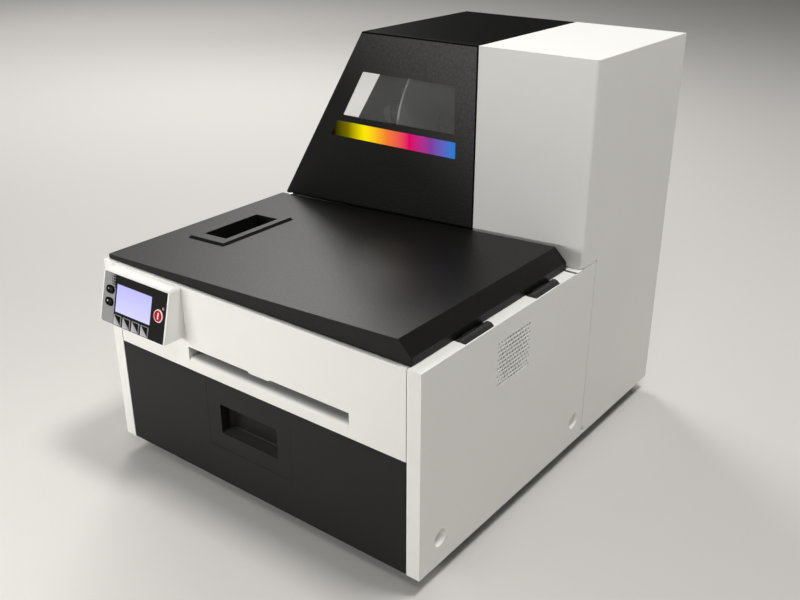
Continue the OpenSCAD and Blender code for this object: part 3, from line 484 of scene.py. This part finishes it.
# Printed strip: black at the left end, then yellow, orange, magenta, violet and blue, with a faint painted
# glow though it is no lamp
strip = {
    "inks": [(0.0, (0.0, 0.0, 0.0)), (0.03, (0.008, 0.007, 0.0)), (0.15, (0.19, 0.16, 0.0)),
             (0.29, (1.0, 0.86, 0.0)), (0.47, (0.95, 0.22, 0.03)), (0.65, (0.78, 0.0, 0.13)),
             (0.82, (0.22, 0.05, 0.36)), (1.0, (0.01, 0.22, 0.72))],
    # glow: painted light, so that the printed inks look brighter than the lamps make them
    "glow": 0.35,
    "rough": 0.5,
    "specular": 0.01,
}


def makeStrip(name, look):
    material, tree, shader, coord = startMaterial(name, look["rough"], 0.0, look["specular"])
    low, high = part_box("colour_strip")
    along = remap(tree, split(tree, coord)["X"], low[0], high[0])
    ink = colourRow(tree, along, look["inks"])
    film = useGroup(tree, powderGroup, coord, Grain=1200.0, Depth=0.05, Drift=30.0)
    feed(tree, shader, {
        "Base Color": ink,
        "Emission Color": ink,
        "Emission Strength": look["glow"],
        "Normal": film["Normal"]})
    return material


# Millimetres on the control panel face, from a chosen point
def faceCoord(tree, coord, u, v):
    node = put(tree, "ShaderNodeMapping", {
        "Vector": coord, "Location": facePoint(u, v), "Rotation": (math.pi / 2 - faceTilt, 0.0, 0.0),
        "Scale": (mm, mm, mm)}, vector_type="TEXTURE")
    return split(tree, node.outputs["Vector"])


# Fine skin of the film and of the keys
panelSkin = {"Grain": 1800.0, "Drift": 30.0}

# Overlay film: black, with a grey strip at the left that ends in a raster of growing dots
overlay = {
    "greyEnd": (22.85, 22.95),
    "dotPitch": 2.9,
    "growStart": 11.6,
    "growEnd": 23.0,
    "dotSizes": (0.1, 0.62),
    "fadeTop": 46.0,
    "fadeBottom": 33.0,
    "fade": 0.6,
    "black": ((0.007, 0.007, 0.0066), (0.01, 0.01, 0.0095)),
    "grey": ((0.255, 0.255, 0.26), (0.275, 0.275, 0.28)),
    "rough": 0.5,
    "specular": 0.05,
}


def makeOverlay(look):
    material, tree, shader, coord = startMaterial("panel film", look["rough"], 0.0, look["specular"])
    place = faceCoord(tree, coord, 0.0, 0.0)
    side = remap(tree, place["X"], *look["greyEnd"])
    # place within each square of the raster, from its middle
    inSquare = []
    for axis in ("X", "Y"):
        step = calc(tree, "FRACT", calc(tree, "DIVIDE", place[axis], look["dotPitch"]))
        inSquare.append(calc(tree, "SUBTRACT", step, 0.5))
    right = remap(tree, place["X"], look["growStart"], look["growEnd"], *look["dotSizes"])
    lower = remap(tree, place["Y"], look["fadeTop"], look["fadeBottom"], 0.0, look["fade"])
    dots = calc(tree, "LESS_THAN", distance(tree, *inSquare), calc(tree, "SUBTRACT", right, lower))
    film = useGroup(tree, powderGroup, coord, Depth=0.06, **panelSkin)
    black = mixTone(tree, film["Tone"], *look["black"])
    grey = mixTone(tree, film["Tone"], *look["grey"])
    feed(tree, shader, {
        "Base Color": mixTone(tree, calc(tree, "MAXIMUM", side, dots), grey, black),
        "Normal": film["Normal"]})
    return material


# Backlit display: lavender, paler towards its lower edge, with a fine pixel grid
screen = {
    "corner": (24.6, 15.7),
    "height": 31.2,
    "lowTone": (0.64, 0.63, 1.0),
    "highTone": (0.47, 0.46, 1.0),
    "pixels": 2.2,
    "gap": 0.1,
    "gapTone": (0.55, 0.55, 0.85),
    "sheetShare": 0.35,
    "glow": 0.72,
    "rough": 0.3,
    "specular": 0.1,
}


def makeScreen(look):
    material, tree, shader, coord = startMaterial("backlit display", look["rough"], 0.0, look["specular"])
    place = faceCoord(tree, coord, *look["corner"])
    lit = mixTone(tree, remap(tree, place["Y"], 0.0, look["height"]), look["lowTone"], look["highTone"])
    inPixel = []
    for axis in ("X", "Y"):
        step = calc(tree, "FRACT", calc(tree, "MULTIPLY", place[axis], look["pixels"]))
        inPixel.append(calc(tree, "GREATER_THAN", step, look["gap"]))
    grid = mixTone(tree, calc(tree, "MULTIPLY", *inPixel), look["gapTone"], lit)
    feed(tree, shader, {
        "Base Color": mixTone(tree, look["sheetShare"], (0.0, 0.0, 0.0), grid),
        "Emission Color": grid, "Emission Strength": look["glow"]})
    return material


# Soft key: grey, paler to the lower left, with a black triangle in its upper right half
softKey = {
    "corners": {"soft_key_1": 23.9, "soft_key_2": 39.1, "soft_key_3": 54.2, "soft_key_4": 69.3},
    "bottom": 1.3,
    "width": 12.4,
    "height": 11.5,
    "markStart": (0.98, 1.02),
    "markRight": 0.93,
    "markTop": 0.95,
    "fade": (0.1, 1.2),
    "grey": ((0.5, 0.5, 0.51), (0.28, 0.28, 0.285)),
    "black": ((0.0, 0.0, 0.0), (0.006, 0.006, 0.006)),
    "rough": 0.5,
    "specular": 0.04,
}


def makeSoftKey(name, u, look):
    material, tree, shader, coord = startMaterial(name, look["rough"], 0.0, look["specular"])
    place = faceCoord(tree, coord, u, look["bottom"])
    across = calc(tree, "DIVIDE", place["X"], look["width"])
    rise = calc(tree, "DIVIDE", place["Y"], look["height"])
    total = calc(tree, "ADD", across, rise)
    rightEdge = calc(tree, "LESS_THAN", across, look["markRight"])
    topEdge = calc(tree, "LESS_THAN", rise, look["markTop"])
    mark = remap(tree, total, *look["markStart"])
    mark = calc(tree, "MULTIPLY", mark, calc(tree, "MULTIPLY", rightEdge, topEdge))
    skin = useGroup(tree, powderGroup, coord, Depth=0.06, **panelSkin)
    grey = mixTone(tree, remap(tree, total, *look["fade"]), *look["grey"])
    black = mixTone(tree, skin["Tone"], *look["black"])
    feed(tree, shader, {"Base Color": mixTone(tree, mark, grey, black), "Normal": skin["Normal"]})
    return material


# Oval menu key: black with a small pale dot and a grey disc
menuKey = {
    "u": 14.0,
    "keys": {"upper_menu_key": (38.1, (0.3, 0.3, 0.3)), "lower_menu_key": (24.3, (0.7, 0.7, 0.7))},
    "dotPlace": (-2.6, 0.6),
    "dotRadius": 1.0,
    "discPlace": (2.0, 0.2),
    "discRadius": 2.2,
    "discTone": (0.022, 0.022, 0.022),
    "blur": 0.2,
    "black": ((0.001, 0.001, 0.001), (0.002, 0.002, 0.002)),
    "rough": 0.5,
    "specular": 0.02,
}


def makeMenuKey(name, v, dotTone, look):
    material, tree, shader, coord = startMaterial(name, look["rough"], 0.0, look["specular"])

    def outside(middle, radius):
        place = faceCoord(tree, coord, look["u"] + middle[0], v + middle[1])
        reach = distance(tree, place["X"], place["Y"])
        return remap(tree, reach, radius - look["blur"], radius + look["blur"])

    skin = useGroup(tree, powderGroup, coord, Depth=0.05, **panelSkin)
    black = mixTone(tree, skin["Tone"], *look["black"])
    tone = mixTone(tree, outside(look["discPlace"], look["discRadius"]), look["discTone"], black)
    tone = mixTone(tree, outside(look["dotPlace"], look["dotRadius"]), dotTone, tone)
    feed(tree, shader, {"Base Color": tone, "Normal": skin["Normal"]})
    return material


# Power button: red disc in a white ring, with an upright white bar
powerButton = {
    "centre": (95.3, 29.5),
    "ringStart": (5.8, 6.1),
    "barHalfWidth": 0.95,
    "barHalfHeight": 3.5,
    "red": ((0.4, 0.001, 0.012), (0.46, 0.002, 0.016)),
    "white": (0.82, 0.7, 0.71),
    "rough": 0.45,
    "specular": 0.05,
}


def makePowerButton(look):
    material, tree, shader, coord = startMaterial("power button", look["rough"], 0.0, look["specular"])
    place = faceCoord(tree, coord, *look["centre"])
    ring = remap(tree, distance(tree, place["X"], place["Y"]), *look["ringStart"])
    barWide = calc(tree, "LESS_THAN", calc(tree, "ABSOLUTE", place["X"]), look["barHalfWidth"])
    barTall = calc(tree, "LESS_THAN", calc(tree, "ABSOLUTE", place["Y"]), look["barHalfHeight"])
    mark = calc(tree, "MAXIMUM", ring, calc(tree, "MULTIPLY", barWide, barTall))
    skin = useGroup(tree, powderGroup, coord, Depth=0.05, **panelSkin)
    red = mixTone(tree, skin["Tone"], *look["red"])
    feed(tree, shader, {"Base Color": mixTone(tree, mark, red, look["white"]), "Normal": skin["Normal"]})
    return material


# Power lamp: a small red lens that glows faintly
lens = {
    "grain": 800.0,
    "dark": (0.42, 0.16, 0.17),
    "light": (0.5, 0.2, 0.21),
    "glow": 0.1,
    "rough": 0.2,
}


def makeLens(look):
    material, tree, shader, coord = startMaterial("power lamp lens", look["rough"])
    tone = mixTone(tree, noise(tree, coord, look["grain"])["Fac"], look["dark"], look["light"])
    feed(tree, shader, {"Base Color": tone, "Emission Color": tone, "Emission Strength": look["glow"]})
    return material


finishes.update({
    "handle": makeHandle(handle),
    "zinc": makeZinc(zinc),
    "tank": makeTank(tank),
    "board": makeBoard(board),
    "frontWindow": makeWindow("hazy front window", windows["frontVeil"], windows),
    "sideWindow": makeWindow("clear side window", windows["sideVeil"], windows),
    "strip": makeStrip("printed colour strip", strip),
    "overlay": makeOverlay(overlay),
    "screen": makeScreen(screen),
    "powerButton": makePowerButton(powerButton),
    "lens": makeLens(lens),
})

wears = {
    "whitePaint": ["left_side_panel", "right_side_panel", "front_panel", "tower_shell", "tower_top",
                   "rear_panel"],
    "whitePlastic": ["panel_housing", "fan_frame"],
    "blackLid": ["lid", "lid_handle"],
    "blackCover": ["media_cover"],
    "blackTop": ["cover_top"],
    "blackDoor": ["front_door"],
    "handle": ["door_handle"],
    "blackPlastic": ["print_head", "power_inlet", "fan_rotor"],
    "hingeCoat": ["lid_hinge_brackets", "lid_hinge_leaves", "cover_hinge_brackets", "cover_hinge_leaves"],
    "greyPlastic": ["ink_bay", "fixed_flange", "sliding_flange", "data_ports"],
    "rubber": ["feet", "feed_roller", "exit_roller", "pinch_roller", "drive_belt"],
    "motorCoat": ["feed_motor"],
    "brightSteel": ["hinge_pins", "door_pivots", "rear_screws"],
    "dullMetal": ["spindle"],
    "satinAluminium": ["platen", "motor_pulley", "power_supply", "spindle_bearing"],
    "zinc": ["base_tray", "engine_deck", "media_deck", "media_wall", "engine_left_plate",
             "engine_right_plate"],
    "tank": ["ink_tanks"],
    "board": ["main_board"],
    "frontWindow": ["front_window"],
    "sideWindow": ["side_window"],
    "strip": ["colour_strip"],
    "overlay": ["panel_overlay"],
    "screen": ["display"],
    "powerButton": ["power_button"],
    "lens": ["power_lamp"],
}


def dress(nodeName, material):
    for place in nodes[nodeName].material_slots:
        place.material = material


for finishName, wearers in wears.items():
    for nodeName in wearers:
        dress(nodeName, finishes[finishName])
for nodeName, u in softKey["corners"].items():
    dress(nodeName, makeSoftKey(nodeName.replace("_", " "), u, softKey))
for nodeName, (v, dotTone) in menuKey["keys"].items():
    dress(nodeName, makeMenuKey(nodeName.replace("_", " "), v, dotTone, menuKey))
print("finishes done")


def addObject(name, data):
    made = bpy.data.objects.new(name, data)
    bpy.context.scene.collection.objects.link(made)
    return made


# Control panel housing with round shoulders: a copy of the solid, less two corner prisms
shoulder = {
    "radius": 4.5 * mm,
    "steps": 10,
    "clear": 0.02 * mm,
    "over": 2.0 * mm,
    "join": 0.001 * mm,
}


# Prism along y between the housing's upper corner and a quarter circle in it; side is 1 right, -1 left
def makeCornerPrism(name, side, look):
    low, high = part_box("panel_housing")
    cornerX = high[0] if side > 0 else low[0]
    outX = cornerX + side * look["over"]
    outZ = high[2] + look["over"]
    angle = np.linspace(0.0, math.pi / 2, look["steps"] + 1)
    centre = look["radius"] + look["clear"]
    x = cornerX - side * (centre - look["radius"] * np.cos(angle))
    z = high[2] - centre + look["radius"] * np.sin(angle)
    x = np.concatenate([x, [x[-1], outX, outX]])
    z = np.concatenate([z, [outZ, outZ, z[0]]])
    count = len(x)
    endPlaces = (low[1] - look["over"], high[1] + look["over"])
    ends = [np.stack([x, np.full(count, y), z], axis=1) for y in endPlaces]
    ring = np.arange(count)
    after = (ring + 1) % count
    faces = np.stack([ring, after, after + count, ring + count], axis=1).tolist()
    faces += [ring[::-1].tolist(), (ring + count).tolist()]
    mesh = bpy.data.meshes.new(name)
    mesh.from_pydata(np.concatenate(ends).tolist(), [], faces)
    shape = bmesh.new()
    shape.from_mesh(mesh)
    bmesh.ops.recalc_face_normals(shape, faces=shape.faces)
    shape.to_mesh(mesh)
    shape.free()
    return addObject(name, mesh)


def makeRoundHousing(name, look):
    mesh = nodes["panel_housing"].data.copy()
    shape = bmesh.new()
    shape.from_mesh(mesh)
    bmesh.ops.remove_doubles(shape, verts=shape.verts, dist=look["join"])
    shape.to_mesh(mesh)
    shape.free()
    piece = addObject(name, mesh)
    prisms = [makeCornerPrism("left shoulder", -1, look), makeCornerPrism("right shoulder", 1, look)]
    for prism in prisms:
        cut = piece.modifiers.new("round shoulder", "BOOLEAN")
        cut.operation = "DIFFERENCE"
        cut.object = prism
    drawn = piece.evaluated_get(bpy.context.evaluated_depsgraph_get())
    rounded = bpy.data.meshes.new_from_object(drawn)
    piece.modifiers.clear()
    piece.data = rounded
    for prism in prisms:
        bpy.data.objects.remove(prism)
    rounded.materials.clear()
    rounded.materials.append(finishes["whitePlastic"])
    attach(piece, "cabinet")
    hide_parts("panel_housing")


makeRoundHousing("round_panel_housing", shoulder)
print("housing done")

# Edge rounding of the outer pieces, widths in millimetres and angles in degrees
edges = {
    "widths": {
        "lid": 0.7, "lid_handle": 0.5, "media_cover": 0.6, "cover_top": 0.5, "tower_shell": 0.7,
        "tower_top": 0.6, "left_side_panel": 0.6, "right_side_panel": 0.4, "front_panel": 0.4,
        "front_door": 0.4, "door_handle": 0.4, "upper_menu_key": 0.5, "lower_menu_key": 0.5,
        "power_button": 0.4, "soft_key_1": 0.3, "soft_key_2": 0.3, "soft_key_3": 0.3, "soft_key_4": 0.3,
    },
    "join": 0.01,
    "flatAngle": 0.5,
    "sharpAngle": 40.0,
    "segments": 2,
    "flatWeight": 100,
}


# The flats are merged before the bevel, and keep their own normals after it
def roundEdges(piece, width, look):
    weld = piece.modifiers.new("join corners", "WELD")
    weld.merge_threshold = look["join"] * mm
    plain = piece.modifiers.new("merge flats", "DECIMATE")
    plain.decimate_type = "DISSOLVE"
    plain.angle_limit = math.radians(look["flatAngle"])
    bevel = piece.modifiers.new("soft edge", "BEVEL")
    bevel.width = width * mm
    bevel.segments = look["segments"]
    bevel.limit_method = "ANGLE"
    bevel.angle_limit = math.radians(look["sharpAngle"])
    flat = piece.modifiers.new("flat faces", "WEIGHTED_NORMAL")
    flat.weight = look["flatWeight"]


for nodeName, width in edges["widths"].items():
    roundEdges(nodes[nodeName], width, edges)
print("edges done")

# Studio: lengths in metres, and the dim side is a level direction
studio = {
    "halfWidth": 40.0,
    "tone": (0.56, 0.546, 0.528),
    "mottle": 0.985,
    "mottleScale": 1.3,
    "rough": 0.85,
    "specular": 0.2,
    "air": (1.0, 0.985, 0.965, 1.0),
    "airLight": 0.12,
    "backdrop": 0.55,
    "floorGlow": 0.48,
    "nearGlow": (1.4, 4.5),
    "farGlow": (4.7, 9.0),
    "skyBand": (0.45, 0.25),
    "dimSide": (-0.61, 0.79, 0.0),
    "dimCosines": (0.86, 0.68),
}


# Share of the pale backdrop in a direction: none within 30 degrees of the dim side, full from 47 degrees on
def paleShare(tree, direction):
    toward = put(tree, "ShaderNodeVectorMath", {0: direction, 1: studio["dimSide"]}, operation="DOT_PRODUCT")
    return remap(tree, toward.outputs["Value"], *studio["dimCosines"], smooth=True)


# Camera, mirror and window rays, which are the ones that show the backdrop
def showingRays(tree):
    path = put(tree, "ShaderNodeLightPath").outputs
    seen = calc(tree, "MAXIMUM", path["Is Camera Ray"], path["Is Glossy Ray"])
    return calc(tree, "MAXIMUM", seen, path["Is Transmission Ray"])


# Floor: a level sheet, points on a grid of two by two
def makeFloor(name, look):
    side = np.array([-look["halfWidth"], look["halfWidth"]])
    x, y = np.meshgrid(side, side)
    points = np.stack([x.ravel(), y.ravel(), np.zeros(x.size)], axis=1)
    mesh = bpy.data.meshes.new(name)
    mesh.from_pydata(points.tolist(), [], [(0, 1, 3, 2)])
    floor = addObject(name, mesh)
    material, tree, shader, coord = startMaterial(name, look["rough"], 0.0, look["specular"])
    paper = noise(tree, coord, look["mottleScale"])["Fac"]
    low = tuple(c * look["mottle"] for c in look["tone"])
    reach = put(tree, "ShaderNodeVectorMath", {0: coord}, operation="LENGTH").outputs["Value"]
    outward = put(tree, "ShaderNodeVectorMath", {0: coord}, operation="NORMALIZE").outputs["Vector"]
    near = remap(tree, reach, *look["nearGlow"], smooth=True)
    far = remap(tree, reach, *look["farGlow"], smooth=True)
    share = calc(tree, "MAXIMUM", calc(tree, "MULTIPLY", near, paleShare(tree, outward)), far)
    seenShare = calc(tree, "MULTIPLY", share, showingRays(tree))
    feed(tree, shader, {
        "Base Color": mixTone(tree, paper, low, look["tone"]),
        "Emission Color": mixTone(tree, seenShare, (0.0, 0.0, 0.0), look["air"]),
        "Emission Strength": look["floorGlow"]})
    mesh.materials.append(material)


makeFloor("studio floor", studio)

# Soft lamps: place, aim and size in metres, power in watts
lampTone = (1.0, 0.99, 0.972)
lamps = {
    "overhead": {"place": (0.68, 0.15, 2.5), "aim": (0.2, 0.05, 0.2), "size": (0.5, 0.5), "power": 38.5},
    "low front": {"place": (-0.35, -1.05, 0.32), "aim": (0.0, -0.2, 0.15), "size": (0.7, 0.15), "power": 5.3},
    "front right": {"place": (0.75, -1.0, 1.6), "aim": (0.3, -0.25, 0.0), "size": (0.5, 0.5), "power": 7.0},
    "left wash": {"place": (-2.6, 1.4, 2.6), "aim": (-2.6, 1.6, 0.0), "size": (1.5, 1.5), "power": 68.0},
    "back left": {"place": (-1.6, 1.45, 1.6), "aim": (0.05, -0.1, 0.26), "size": (0.6, 0.6), "power": 18.0},
    "right fill": {"place": (2.0, -0.3, 0.45), "aim": (0.2, 0.0, 0.15), "size": (1.2, 0.8), "power": 1.2},
}


def makeLamp(name, look):
    light = bpy.data.lights.new(name, "AREA")
    light.shape = "RECTANGLE"
    light.size, light.size_y = look["size"]
    light.energy = look["power"]
    light.color = lampTone
    lamp = addObject(name, light)
    away = np.array(look["place"]) - np.array(look["aim"])
    level = math.hypot(away[0], away[1])
    lamp.location = look["place"]
    lamp.rotation_euler = (math.atan2(level, away[2]), 0.0, math.atan2(away[0], -away[1]))


for lampName, look in lamps.items():
    makeLamp(lampName, look)


# Dim air, with a pale band above the horizon; mirrored at the dim side it stays dim
def makeAir(name, look):
    world = bpy.data.worlds.new(name)
    world.use_nodes = True
    tree = world.node_tree
    heading = put(tree, "ShaderNodeTexCoord").outputs["Generated"]
    band = remap(tree, split(tree, heading)["Z"], *look["skyBand"], smooth=True)
    looking = put(tree, "ShaderNodeLightPath").outputs["Is Camera Ray"]
    share = calc(tree, "MAXIMUM", paleShare(tree, heading), looking)
    share = calc(tree, "MULTIPLY", band, share)
    share = calc(tree, "MULTIPLY", share, showingRays(tree))
    feed(tree, tree.nodes["Background"], {
        "Color": look["air"],
        "Strength": remap(tree, share, 0.0, 1.0, look["airLight"], look["backdrop"])})
    bpy.context.scene.world = world


makeAir("studio air", studio)

# Camera at the photo's angle: place in metres, angles in radians, lens and sensor in millimetres
view = {
    "place": (0.6438, -0.82813, 0.6412),
    "azimuth": 0.6543,
    "down": 0.4256,
    "lens": 42.846,
    "sensor": 36.0,
}
cameraData = bpy.data.cameras.new("photo camera")
cameraData.sensor_fit = "HORIZONTAL"
cameraData.sensor_width = view["sensor"]
cameraData.lens = view["lens"]
camera = addObject("photo camera", cameraData)
camera.location = view["place"]
camera.rotation_euler = (math.pi / 2 - view["down"], 0.0, view["azimuth"])
bpy.context.scene.camera = camera
bpy.context.scene.view_settings.view_transform = "Standard"
print("studio done")
